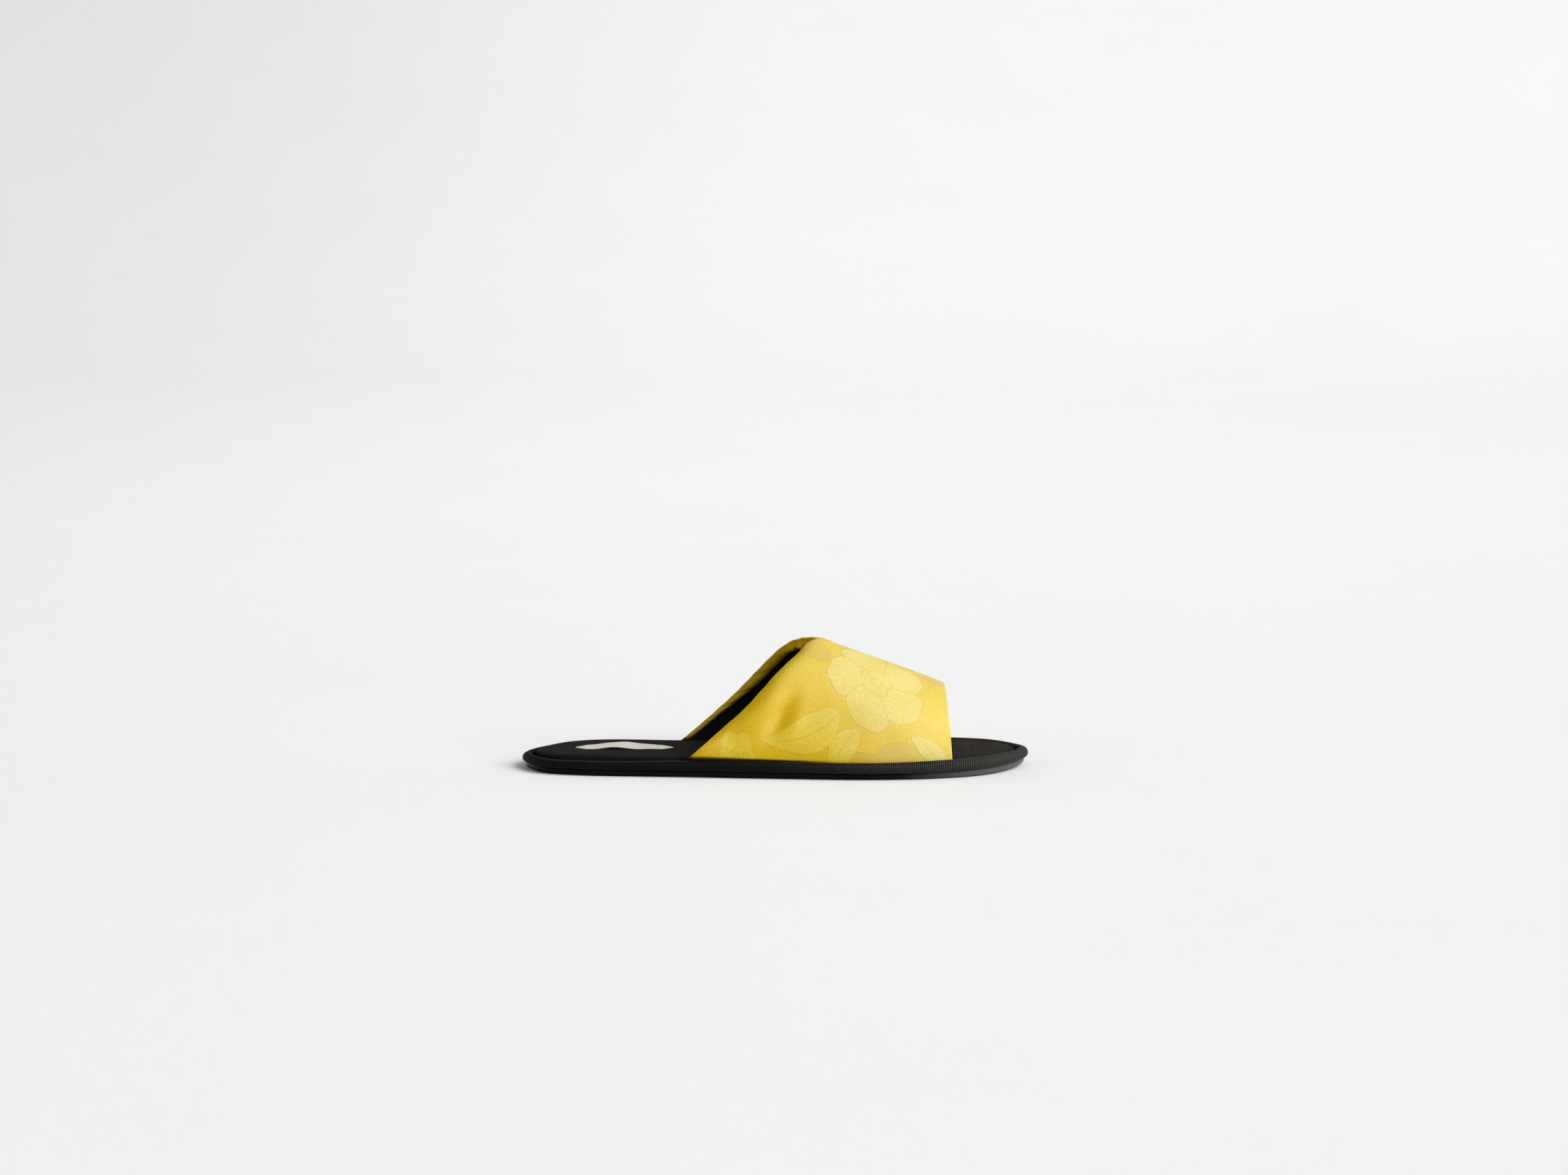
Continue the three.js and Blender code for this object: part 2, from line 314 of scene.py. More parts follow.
def jacquard_material():
    """Golden satin with woven figures in a matt and a tan weave, dotted outlines and a fine grain.

    The figures come with the mesh, as distances. The colour carries painted light: paler near the toe and
    where the cloth faces the painted light's way, deeper golden in painted shade elsewhere.
    """
    n = Nodes("jacquard", Specular_Tint=(1, 0.96, 0.82), Sheen_Weight=0.05, Sheen_Roughness=0.4,
              Sheen_Tint=(1, 0.95, 0.8))
    vein, along, around = n.value("vein"), n.value("cloth_p"), n.value("cloth_q")
    flat = n.add("CombineXYZ", along, around, 0).outputs[0]
    grain = n.noise(flat, 1.7, 2, 0.75)
    fleck = n.noise(flat, 2.9, 2, 0.75)
    mottle = n.noise(flat, 0.6, 3, 0.65)
    cloud = n.noise(flat, 0.05, 2, 0.5)
    ragged = n.times(n.math("SUBTRACT", grain, 0.5), 0.8)
    matt_edge = n.plus(n.value("figure"), ragged)
    tan_edge = n.plus(n.value("figure_tan"), ragged)
    matt = n.ramp(matt_edge, -0.25, 0.25, 1, 0)
    matt = n.times(matt, n.ramp(vein, 0.12, 0.45, 0.45, 1))
    tan = n.ramp(tan_edge, -0.25, 0.25, 1, 0)
    rows, columns = (n.math("SINE", n.times(way, DOT_RATE)) for way in (along, around))
    dots = n.times(rows, columns)
    nearest = n.math("MINIMUM", n.math("ABSOLUTE", matt_edge), n.math("ABSOLUTE", tan_edge))
    outline = n.ramp(n.math("MINIMUM", nearest, vein), 0.12, 0.42, 1, 0)
    outline = n.times(outline, n.ramp(dots, -0.3, 0.25))
    # Painted light: paler where the cloth faces the light's way and towards the toe, deeper golden in painted
    # shade elsewhere
    facing = n.add("VectorMath", n.add("NewGeometry").outputs["Normal"], PAINTED_LIGHT_WAY, operation="DOT_PRODUCT")
    facing = n.plus(facing.outputs["Value"], n.ramp(along, 20, 85, 0, 0.32))
    pale = n.ramp(facing, 0.36, 0.96)
    dark = n.times(n.ramp(grain, 0.34, 0.56, 0.7, 0), n.ramp(matt, 0, 1, 1, 0.5))
    dark = n.times(dark, n.ramp(pale, 0.3, 1, 1, 0.45))
    inside = n.value("inside")
    # Painted shade along the rear hem, where the cloth meets the ribbon, broken up by the flecks
    soil = n.math("MULTIPLY_ADD", n.math("SUBTRACT", fleck, 0.5), 1.6, n.value("soil"))
    soil = n.ramp(soil, 0.25, 0.85, 0, 0.97)
    # Lit and shaded copies of each weave's colour, mixed by the painted light; the flecks and the dark specks
    # follow it too
    colour = n.lay(
        n.mix(pale, (0.62, 0.395, 0.001), (0.6, 0.455, 0.05)),
        (tan, n.mix(pale, (0.54, 0.34, 0.008), (0.56, 0.4, 0.085))),
        (matt, n.mix(pale, (0.62, 0.46, 0.035), (0.62, 0.53, 0.18))),
        (n.ramp(mottle, 0.42, 0.66, 0, 0.3), (0.47, 0.3, 0.002)),
        (dark, (0.38, 0.235, 0.001)),
        (n.ramp(fleck, 0.48, 0.7, 0, 0.5), n.mix(pale, (0.7, 0.5, 0.025), (0.86, 0.74, 0.29))),
        (n.ramp(cloud, 0.38, 0.68, 0, 0.22), (0.52, 0.35, 0.006)),
        (n.times(outline, 0.34), (0.26, 0.15, 0.002)),
        # Painted shade inside the throat, along its rolled outer edge and in the facing's pinches, brown to
        # near black by the inside value
        (n.times(inside, 0.85), n.mix(grain, (0.1, 0.052, 0.0004), (0.43, 0.245, 0.0016))),
        (n.ramp(inside, 0.72, 1.02, 0, 0.8), (0.022, 0.012, 0.0003)),
        # Painted hem shade, near black
        (soil, (0.006, 0.0035, 0.0015)),
    )
    height = n.math("MULTIPLY_ADD", matt, 0.6, n.plus(grain, fleck))
    gloss = n.ramp(matt, 0, 1, 0.6, 0.3)
    # Less gloss in the painted shade: inside the throat, at the hem, and away from the painted light
    for less in n.ramp(inside, 0, 0.5, 1, 0.1), n.math("SUBTRACT", 1, soil), n.ramp(pale, 0, 0.5, 0.45, 1):
        gloss = n.times(gloss, less)
    return n.finish(colour, Roughness=n.ramp(matt, 0, 1, 0.56, 0.66), Specular_IOR_Level=gloss,
                    Normal=n.bump(height, 0.6, 0.00018))


def lining_material():
    """Black lining cloth with a fine twill."""
    n = Nodes("lining", 0.05, Roughness=0.85)
    place = n.place()
    grain = n.noise(place, 900, 3)
    twill = n.add("TexWave", place, 700, wave_type="BANDS", bands_direction="DIAGONAL").outputs["Fac"]
    colour = n.mix(grain, (0.002, 0.0019, 0.0018), (0.008, 0.0075, 0.007))
    return n.finish(colour, Normal=n.bump(n.plus(twill, grain), 0.4, 0.0001))


def ribbon_material():
    """Black ribbed ribbon: painted highlights on the ridges and painted shade in the valleys, fine threads
    across, and painted light that makes it greyer towards the toe.
    """
    n = Nodes("ribbon", 0.055)
    place = n.place()
    thread = n.noise(place, 1500, 3, 0.6)
    # Painted light: the ridges are paler than the near-black valleys, and their colour grows paler towards
    # the toe
    crest = n.mix(n.painted_light_toward_toe(-0.03, 0.125), (0.0058, 0.0058, 0.0049), (0.068, 0.068, 0.06))
    colour = n.lay(
        (0.0003, 0.0003, 0.0003),
        (n.ramp(n.value("ridge"), 0.65, 1), crest),
        (n.ramp(thread, 0.4, 0.75, 0, 0.3), (0.004, 0.004, 0.0034)),
    )
    rough = n.ramp(n.noise(place, 60), 0.3, 0.7, 0.34, 0.44)
    return n.finish(colour, Roughness=rough, Normal=n.bump(thread, 0.35, 0.00012))


def felt_material():
    """Black felt with a short nap and brownish painted light that grows towards the toe."""
    n = Nodes("felt", 0.03, Roughness=0.95, Sheen_Weight=0.03, Sheen_Roughness=0.35,
              Sheen_Tint=(1, 0.93, 0.88))
    place = n.place()
    nap = n.noise(place, 1300, 3, 0.7)
    tuft = n.noise(place, 420, 3, 0.65)
    patch = n.noise(place, 45, 3, 0.6)
    # Painted light towards the toe, broken up by the tufts
    painted_toe_light = n.times(n.painted_light_toward_toe(0.05, 0.125, 0.1, 0.75), n.ramp(tuft, 0.3, 0.6, 0.45, 1))
    colour = n.lay(
        (0.0012, 0.0011, 0.001),
        (n.ramp(nap, 0.38, 0.66), (0.006, 0.0054, 0.0049)),
        (n.ramp(tuft, 0.45, 0.7, 0, 0.6), (0.0095, 0.0081, 0.0073)),
        (n.ramp(patch, 0.35, 0.7, 0, 0.45), (0.003, 0.0028, 0.0027)),
        (painted_toe_light, (0.026, 0.0221, 0.0197)),
    )
    height = n.math("MULTIPLY_ADD", tuft, 1.5, nap)
    return n.finish(colour, Normal=n.bump(height, 0.5, 0.0002))


def rubber_material():
    """Smooth black rubber, satin, with faint moulding marks, and a painted highlight that makes it greyer
    towards the toe.
    """
    n = Nodes("outsole_rubber", 0.08)
    place = n.place()
    fine = n.noise(place, 700, 3)
    patch = n.noise(place, 45, 3, 0.6)
    colour = n.lay(
        (0.0008, 0.0008, 0.0009),
        (n.ramp(fine, 0.4, 0.8, 0, 0.6), (0.0018, 0.0018, 0.0019)),
        (n.ramp(patch, 0.5, 0.8, 0, 0.3), (0.004, 0.004, 0.0042)),
        # Painted highlight towards the toe
        (n.painted_light_toward_toe(0.06, 0.115), (0.072, 0.072, 0.073)),
    )
    return n.finish(colour, Roughness=n.ramp(patch, 0.3, 0.75, 0.24, 0.34),
                    Normal=n.bump(fine, 0.2, 0.0001))


def tape_material():
    """Plain cream woven tape, with painted shade along its edges."""
    n = Nodes("label_weave", 0.2, Roughness=0.75, Sheen_Weight=0.15, Sheen_Roughness=0.5)
    along, around = n.value("cloth_p"), n.value("cloth_q")
    flat = n.add("CombineXYZ", along, around, 0).outputs[0]
    warp = n.math("SINE", n.times(along, 15))
    weft = n.math("SINE", n.times(around, 20))
    grain = n.noise(flat, 1.8, 3, 0.6)
    colour = n.lay(
        (0.45, 0.43, 0.37),
        (n.ramp(grain, 0.3, 0.7), (0.63, 0.61, 0.55)),
        (n.ramp(n.noise(flat, 0.16), 0.4, 0.75, 0, 0.4), (0.56, 0.52, 0.44)),
        # Painted shade within a millimetre of the edges
        (n.ramp(n.value("from_edge"), 0.5, 1.1, 0.35, 0), (0.42, 0.38, 0.31)),
    )
    height = n.math("MULTIPLY_ADD", grain, 1.2, n.times(warp, weft))
    return n.finish(colour, Normal=n.bump(height, 0.5, 0.00012))


def fibre_material(name, gloss, scale, low, dark, pale):
    """Loose fibres, some dark and some paler."""
    n = Nodes(name, gloss, Roughness=0.9)
    tone = n.ramp(n.noise(n.place(), scale), low, 0.7)
    return n.finish(n.mix(tone, dark, pale))


# Outsole

OUTSOLE_STEPS = 720
RUNG_STEPS = 48

# Side, from the underside up: distance inward, height
OUTSOLE_SIDE = [
    (1.8, 0), (1.2, 0.1), (0.65, 0.4), (0.22, 0.95), (0, 1.65), (0.03, 2.4), (0.1, 3.05), (0.28, 3.45),
    (0.6, 3.6),
]

# Waved grooves: depth, pitch, waves, where on a wave the cut is, where it fades in from sides and ends
TREAD_DEPTH = 0.5
TREAD_PITCH = 5.5
TREAD_SWING, TREAD_RATE = 2.2, 0.42
TREAD_CUT = (0.1, 0.75)
TREAD_FROM_SIDE = (4, 7)
TREAD_FROM_END = (8, 13)


def make_outsole():
    """Rubber sole: convex side, and an underside with shallow waved grooves inside a plain border."""
    count = OUTSOLE_STEPS
    edge, normal, _ = sole_edge(count)
    rings = [edge_ring(OUTSOLE_INSET + inward, z, edge, normal) for inward, z in OUTSOLE_SIDE]
    points = np.concatenate(rings)
    faces = grid_faces(len(rings), count, close_columns=True)
    half = count // 2
    across = np.linspace(0, 1, RUNG_STEPS + 1)[1:-1]

    def cap(ring, first, depth):
        """Rungs from the outer to the inner side, cut finely enough for a tread of that depth."""
        nonlocal points, faces
        start = len(points)
        a, b = ring[1:half, None], ring[:half:-1, None]
        rungs = a + (b - a) * across[:, None]
        inside = np.minimum(across, 1 - across) * np.linalg.norm(b - a, axis=-1)
        ends = SOLE_LENGTH / 2 - np.abs(rungs[..., 0].mean(1, keepdims=True))
        swing = TREAD_SWING * np.sin(rungs[..., 1] * TREAD_RATE)
        wave = np.sin((rungs[..., 0] + swing) * math.tau / TREAD_PITCH)
        share = smooth(inside, *TREAD_FROM_SIDE) * smooth(ends, *TREAD_FROM_END)
        rungs[..., 2] += depth * smooth(wave, *TREAD_CUT) * share
        points = np.vstack([points, rungs.reshape(-1, 3)])
        width = len(across)
        lines = [[first + i, *range(start + (i - 1) * width, start + i * width), first + count - i]
                 for i in range(1, half)]
        for j in range(width + 1):
            faces.append((first, lines[0][j], lines[0][j + 1]))
            faces.append((first + half, lines[-1][j + 1], lines[-1][j]))
            faces += [(a[j], a[j + 1], b[j + 1], b[j]) for a, b in zip(lines, lines[1:])]

    cap(rings[0], 0, TREAD_DEPTH)
    cap(rings[-1], (len(rings) - 1) * count, 0)
    piece = make_piece("outsole_rubber", points, faces, [rubber_material()])
    turn_outward(piece)
    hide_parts("outsole")


# Edge ribbon

RIB_STEPS = 6
RIBBON_STEPS = 20
RIB_PITCH = 1.06
RIB_HEIGHT = 0.22
RIB_MEAN = 0.72
RIB_ROUNDNESS = 0.9
RIB_SHOWS = (0.2, 0.9)

# How far the ribs' lower ends trail, and how the ribs wander: share of the pitch, waves round the edge
RIB_LEAN, RIB_LEAN_POWER = 0.9, 1.5
RIB_WANDER = ((0.12, 7), (0.08, 23))

RIBBON_SAG, SAG_END = 0.2, 2.2

# Where the swell changes: across the toe, towards the toe, at the tip, towards the heel
SWELL_ACROSS, SWELL_TOE, SWELL_TIP, SWELL_HEEL = (-20, 20), (50, 95), (118, 138), (20, 110)


def make_ribbon():
    """Ribbed ribbon rolled round the edge, the lower ends of its ribs trailing."""
    count = round(EDGE_RUN / RIB_PITCH) * RIB_STEPS
    edge, normal, _ = sole_edge(count)
    section, lie, _ = closed_curve(np.array(RIBBON_SECTION) * [BINDING_WIDTH, BINDING_HEIGHT], RIBBON_STEPS)
    if (lie * (section - section.mean(0))).sum() < 0:
        lie = -lie
    around = np.arange(count) * math.tau / count
    phase = np.arange(count) / RIB_STEPS
    for share, waves in RIB_WANDER:
        phase = phase + share * np.sin(waves * around)
    lean = RIB_LEAN / RIB_PITCH * (1 - section[:, 1] / BINDING_HEIGHT) ** RIB_LEAN_POWER
    ridge = np.abs(np.sin(math.pi * (phase[:, None] + lean))) ** RIB_ROUNDNESS
    lift = RIB_HEIGHT * (ridge - RIB_MEAN) * smooth(section[:, 1], *RIB_SHOWS)
    outer, inner = BINDING_SWELL["toe outer"], BINDING_SWELL["toe inner"]
    swell = (outer + (inner - outer) * smooth(edge[:, 1], *SWELL_ACROSS)) * smooth(edge[:, 0], *SWELL_TOE)
    swell += BINDING_SWELL["tip"] * smooth(edge[:, 0], *SWELL_TIP)
    swell += BINDING_SWELL["heel"] * smooth(-edge[:, 0], *SWELL_HEEL)
    inset = section[:, 0] + lift * lie[:, 0]
    z = SEAT + section[:, 1] * (1 + swell / BINDING_HEIGHT)[:, None] + lift * lie[:, 1]
    z = z - RIBBON_SAG * (1 - smooth(section[:, 1], 0, SAG_END))
    flat = edge[:, None] - normal[:, None] * inset[..., None]
    points = np.concatenate([flat, (z + spring(flat[..., 0]))[..., None]], -1).reshape(-1, 3)
    faces = grid_faces(count, len(section), True, True)
    piece = make_piece("edge_ribbon", points, faces, [ribbon_material()])
    add_floats(piece, ridge=ridge.ravel())
    turn_outward(piece)
    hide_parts("edge_binding")


# Insole

INSOLE_STEPS = 480

# Rings of the top: share of the way from the rim to the middle line
INSOLE_RINGS = np.concatenate([[0, 0.003, 0.008, 0.015, 0.025, 0.04, 0.06], np.linspace(0.085, 0.98, 28)])

# Ends of the middle line: shares of the ball width from the heel and from the toe
MIDDLE_FROM_HEEL, MIDDLE_FROM_TOE = 0.37, 0.45

# Round part of the rim: share of the crown, and how soon it is reached
RIM_SHARE, RIM_REACH = 0.9, 0.05

# The top lies a little lower than the solid's, swells, and is higher on the inner side of the heel
PAD_LOWER = 0.1
PAD_SWELL = 0.14
HEEL_RISE, HEEL_RISE_ACROSS, HEEL_RISE_ALONG = 0.65, (-6, 24), (-70, -10)

# Fibres of the nap: number, length, thickness, how much they stand up and spread, depth of the root
NAP_FIBRES = 24000
NAP_LENGTH, NAP_THICKNESS = (0.25, 0.7), (0.02, 0.035)
NAP_STAND, NAP_SPREAD, NAP_ROOT = (0.25, 1), 0.6, 0.05


def insole_rise(inward):
    """Share of the pad's crown, at a share of the way from rim to middle line."""
    return RIM_SHARE * (1 - np.exp(-inward / RIM_REACH)) + (1 - RIM_SHARE) * (1 - (1 - inward) ** 2)


def make_insole():
    """Felt-covered pad: upright side, soft rim, nearly flat top with a few shallow swells."""
    count = INSOLE_STEPS
    edge, normal, _ = sole_edge(count)
    rim = edge_ring(INSOLE_INSET, SEAT, edge, normal)
    heel_end = -SOLE_LENGTH / 2 + MIDDLE_FROM_HEEL * BALL_WIDTH
    toe_end = SOLE_LENGTH / 2 - MIDDLE_FROM_TOE * BALL_WIDTH
    x = np.clip(rim[:, 0], heel_end, toe_end)
    middle = (edge_across(x, -1, INSOLE_INSET) + edge_across(x, 1, INSOLE_INSET)) / 2
    rings = [rim, rim + [0, 0, INSOLE_SIDE_HEIGHT * 0.6]]
    for inward in INSOLE_RINGS:
        px = rim[:, 0] + (x - rim[:, 0]) * inward
        py = rim[:, 1] + (middle - rim[:, 1]) * inward
        waves = np.sin(px * 0.11 + py * 0.07 + 0.6) * np.sin(py * 0.13 - px * 0.03)
        at_heel = smooth(py, *HEEL_RISE_ACROSS) * (1 - smooth(px, *HEEL_RISE_ALONG))
        swell = PAD_SWELL * waves * smooth(inward, 0.02, 0.3) + HEEL_RISE * at_heel * insole_rise(inward)
        z = SEAT + INSOLE_SIDE_HEIGHT + INSOLE_CROWN * insole_rise(inward) + spring(px) + swell
        rings.append(np.column_stack([px, py, z - PAD_LOWER * smooth(inward, 0, 0.1)]))
    points = np.concatenate(rings)
    faces = grid_faces(len(rings), count, close_columns=True)
    quads = np.array(faces[2 * count:])
    for first in (0, (len(rings) - 1) * count):
        for i in range(count // 2):
            corners = [first + k % count for k in (i, i + 1, -i - 1, -i)]
            faces.append(tuple(dict.fromkeys(corners)))
    piece = make_piece("insole_pad", points, faces, [felt_material()])
    turn_outward(piece)
    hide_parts("insole")
    make_nap(points, quads)


def make_nap(points, quads):
    """Short fibres all over the pad's rim and top, each a thin closed spike."""
    rng = np.random.default_rng(SEED)
    a, b, c, d = (points[quads[:, k]] for k in range(4))
    across = np.cross(c - a, d - b)
    area = np.linalg.norm(across, axis=1)
    up = across / area[:, None] * np.sign(across[:, 2:3])
    pick = rng.choice(len(quads), NAP_FIBRES, p=area / area.sum())
    s, t = rng.random((2, NAP_FIBRES, 1))
    root = (a[pick] * (1 - s) + b[pick] * s) * (1 - t) + (d[pick] * (1 - s) + c[pick] * s) * t
    way = up[pick] * rng.uniform(*NAP_STAND, (NAP_FIBRES, 1)) + rng.normal(0, NAP_SPREAD, (NAP_FIBRES, 3))
    way = unit(way)
    way[:, 2] = np.abs(way[:, 2])
    reach = way * rng.uniform(*NAP_LENGTH, (NAP_FIBRES, 1))
    thick = rng.uniform(*NAP_THICKNESS, NAP_FIBRES)
    material = fibre_material("felt_nap", 0.06, 420, 0.48, (0.005, 0.0045, 0.0042), (0.021, 0.018, 0.0156))
    add_spikes("insole_nap", root - up[pick] * NAP_ROOT, reach, thick, material)


def add_spikes(name, roots, reach, thick, material):
    """Thin three-sided spikes in one mesh."""
    side = unit(np.cross(reach, [0.3, 0.9, 0.31]))
    other = unit(np.cross(reach, side))
    turns = [k * math.tau / 3 for k in range(3)]
    corners = [roots + thick[:, None] * (side * math.cos(t) + other * math.sin(t)) for t in turns]
    points = np.stack([*corners, roots + reach], 1).reshape(-1, 3)
    first = 4 * np.arange(len(roots))[:, None]
    faces = np.concatenate([first + f for f in ([0, 2, 1], [0, 1, 3], [1, 2, 3], [2, 0, 3])])
    make_piece(name, points, faces.tolist(), [material])


# Upper

# Points from hem to hem, then rows of them: outside, turned in at the toe, lined, turned in at the throat,
# and in each of the two round folds
AROUND_STEPS = 320
OUTSIDE_STEPS = 200
TURN_STEPS = 7
LINING_STEPS = 40
FACING_STEPS = 14
FOLD_STEPS, FOLD_REACH = 4, 0.9
LINING_START = 0.004

# Facing at the throat: widths at its foot, on the wall and at the crest, and where one passes into the next
FACING_FOOT_WIDTH = 2.8
FACING_WALL_WIDTH = 6
FACING_CREST_WIDTH = 10.5
FACING_RISE = (18, 46)
FACING_CREST_SHIFT, FACING_CREST_REACH = 6, (8, 28)
FACING_CLOTH_SHIFT, FACING_CLOTH_STRETCH = 2.5, 1.4
TOE_TURN = 6

# Rolled throat edge: curl of outer wall, inner wall and crest, reach of the tight and the long bend
OUTER_ROLL, INNER_ROLL, CREST_ROLL = 3.8, 1.3, 2.1
ROLL_RISE = (12, 26)
ROLL_REACH = 8
BEND_REACH = 26
CREST_REACH = (8, 26)
CREST_LIFT, CREST_LIFT_REACH = 1.5, 8

# Bead of the facing: depth at the edge, bulge on the wall, more bulge and its shift at the crest
BEAD_DEPTH, BEAD_BULGE, BEAD_CREST_BULGE, BEAD_CREST_SHIFT = 1.2, 0.5, 4.2, 0.3
LINING_TUCK = 0.35

# Slack of the throat's edge near the crest: amount, heights, share of the way round, reach
THROAT_SLACK, SLACK_RISE, SLACK_ROUND, SLACK_REACH = 2.8, (36, 60), (0, 0.16), 10
EDGE_WAVER, WAVER_REACH, WAVER_RISE = 0.1, 3, (14, 22)
# Painted shade: width of the band along the outer throat edge, its depth there, and its depth on the
# turned-in toe rows and the lining
EDGE_BAND, EDGE_SHADE, LINING_SHADE = 4.5, 0.34, 0.72
WALL_SWELL = 0.22

# Heights above the floor between which the creases, and the shape of the inside, set in
CREASES_RISE, INSIDE_RISE = (10, 20), (11, 20)

# Soft creases: side (-1 outer, 1 inner), place, direction in degrees, half length, half width, height
CREASES = [
    (-1, 2, 32, 55, 12, 4.8, -2.6), (-1, -2, 42, 40, 13, 4.2, 0.8), (-1, -13, 42, 46, 19, 4.4, -1.3),
    (-1, 11, 29, 58, 9, 4.5, 0.6), (-1, -24, 26, 48, 8, 3.6, -0.5), (-1, 14, 46, 50, 9, 5, 0.4),
    (-1, -24, 21, 48, 8, 4, -0.4), (-1, 40, 26, 84, 14, 8, -0.35), (-1, 66, 34, 100, 14, 8, 0.25),
    (1, -6, 31, 56, 10, 4.4, -1.2), (1, -17, 30, 48, 10, 4.5, 0.6), (1, 10, 44, 52, 10, 5, -0.5),
    (1, 46, 28, 92, 14, 8, -0.35),
]

# Pinches across the throat's edge: distance round from the crest, half width, reach, height
PINCHES = [
    (-4.5, 1, 5, -0.28), (1.5, 1.1, 8, -0.5), (6, 1, 7, -0.45), (10.5, 1.2, 6, -0.4), (16, 1.5, 6, -0.3),
]

# Pinches of the facing: distance round from the crest, half width, lean, depth.
# They start below the edge and get shallower towards the facing's inner edge.
FACING_PINCHES = [
    (-3, 1.1, 0.1, 0.7), (0.8, 1, 0.1, 0.9), (4.4, 1, 0.15, 1), (8.2, 1.1, 0.15, 0.8), (13, 1.2, 0.1, 0.5),
]
PINCH_START, PINCH_REACH = (0, 3), 8
PINCH_FADE, PINCH_FADE_REACH = 0.75, (0.45, 1)
PINCH_SHADE = 0.6

# Kinks of the facing on the inner side: height, half width, depth
KINKS = [
    (36, 0.9, -0.45), (28.6, 0.9, -0.5), (22.1, 0.8, -0.4), (18.8, 0.7, -0.3), (47, 1.6, -0.3),
]
KINK_LEAN = 0.6


def hoop(key, u):
    """A hoop's size at a share of the way from throat to toe, on the parabola through three values."""
    a, b, c = HOOPS[key]
    return a * 2 * (u - 0.5) * (u - 1) + b * 4 * u * (1 - u) + c * 2 * u * (u - 0.5)


def upper_shape(u, v):
    """Outer surface of the upper. u: 0 throat, 1 toe. v: -1 outer hem, 0 crest, 1 inner hem."""
    u, v = np.broadcast_arrays(u, v)
    outer = v < 0
    turn = (1 - np.abs(v)) * math.pi / 2
    power = 2 / HOOP_FULLNESS
    reach = np.clip(np.cos(turn), 0, 1) ** power
    rise = np.clip(np.sin(turn), 0, 1) ** power
    foot = np.where(outer, hoop("outer_foot", u), hoop("inner_foot", u))
    power = np.where(outer, OUTER_LEAN_POWER, INNER_LEAN_POWER)
    lean = np.where(outer, OUTER_LEAN, INNER_LEAN) * (1 - u) ** 2 * np.sin(math.pi * (1 - np.abs(v)) ** power)
    x = foot + (hoop("crest_x", u) - foot) * rise - lean
    across = np.where(outer, edge_across(x, -1, HEM_INSET), edge_across(x, 1, HEM_INSET))
    y = hoop("crest_y", u) + (across - hoop("crest_y", u)) * reach
    low = SEAT + spring(x)
    return np.stack([x, y, low + (hoop("crest_z", u) - low) * rise], -1)


def upper_frame(u, v):
    """Directions on the upper: out of the wall, and along it towards the toe."""
    ahead = upper_shape(np.minimum(1, u + 0.01), v) - upper_shape(np.maximum(0, u - 0.01), v)
    around = upper_shape(u, np.minimum(1, v + 0.004)) - upper_shape(u, np.maximum(-1, v - 0.004))
    return unit(np.cross(ahead, around)), unit(ahead)


def round_from_crest(points):
    """Distance round from the crest, minus towards the outer side."""
    y, z = (np.gradient(points[..., k], axis=-1) for k in (1, 2))
    run = np.cumsum(np.hypot(y, z), -1)
    return run - run[..., AROUND_STEPS // 2, None]


def near_crest(from_crest):
    """Share of the crest's own shape at a distance round from it."""
    return 1 - smooth(np.abs(from_crest), *CREST_REACH)


def throat_roll(z, v, crest):
    """How far the throat's edge curls inward: most on the outer wall, least at the hems."""
    wall = smooth(z, *ROLL_RISE) * np.where(v < 0, OUTER_ROLL, INNER_ROLL)
    return wall + (CREST_ROLL - wall) * crest


def roll_share(from_throat):
    """Share of the curl at a distance from the throat's edge: a quarter round in a long soft bend."""
    t = 1 - np.clip(from_throat / ROLL_REACH, 0.01, 1)
    bend = 1 - np.clip(from_throat / BEND_REACH, 0, 1)
    return 0.6 * (1 - np.sqrt(1 - t**2)) + 0.4 * bend**2


def crease_height(points, v, from_throat, from_crest):
    """How far creases, the rolled throat edge and the pinches move the wall outward."""
    x, z = points[..., 0], points[..., 2]
    height = np.zeros(x.shape)
    for side, cx, cz, angle, half_length, half_width, amount in CREASES:
        along, across = turned(x, z, cx, cz, angle)
        on = smooth(v * side, 0, 0.12)
        height += on * amount * bell(along, half_length) * bell(across, half_width)
    crest = near_crest(from_crest)
    height += CREST_LIFT * crest * bell(from_throat, CREST_LIFT_REACH)
    height -= throat_roll(z, v, crest) * roll_share(from_throat)
    for place, half_width, reach, amount in PINCHES:
        height += amount * bell(from_crest - place, half_width) * bell(from_throat, reach)
    swell = WALL_SWELL * np.sin(x * 0.085 + 0.7) * np.sin(from_crest * 0.075 + 0.4)
    return (height + swell) * smooth(z, *CREASES_RISE)


# Woven figures, drawn in one repeat of the cloth: along the shoe from its middle, and round from the crest,
# minus towards the outer side. FAR stands for a distance that no longer matters.
REPEAT = (168, 152)
FAR = 9.0

# Leaves in the matt weave, then in the tan weave: base, direction in degrees, length, width, bend
LEAVES = [
    (35, -51, 205, 48, 18, 0.12), (45, -58, 246, 33, 13, -0.13), (74, -54, 316, 32, 12, 0.13),
    (-34, 16, 30, 52, 18, 0.12), (10, 52, 140, 50, 16, 0.13),
]
TAN_LEAVES = [
    (31, -24, 158, 46, 19, -0.13), (52, 1, 118, 44, 20, 0.12), (77, -8, 36, 40, 17, -0.12),
    (52, -84, 40, 40, 15, 0.12), (20, 60, 20, 56, 18, 0.1),
]

# Blossoms of broad petals round a small inner ring: centre, radius, petals, turn in degrees
BLOSSOMS = [
    (55, -30, 28, 5, 22), (-6, 30, 22, 5, 50), (-21, -80, 11, 5, 40),
]

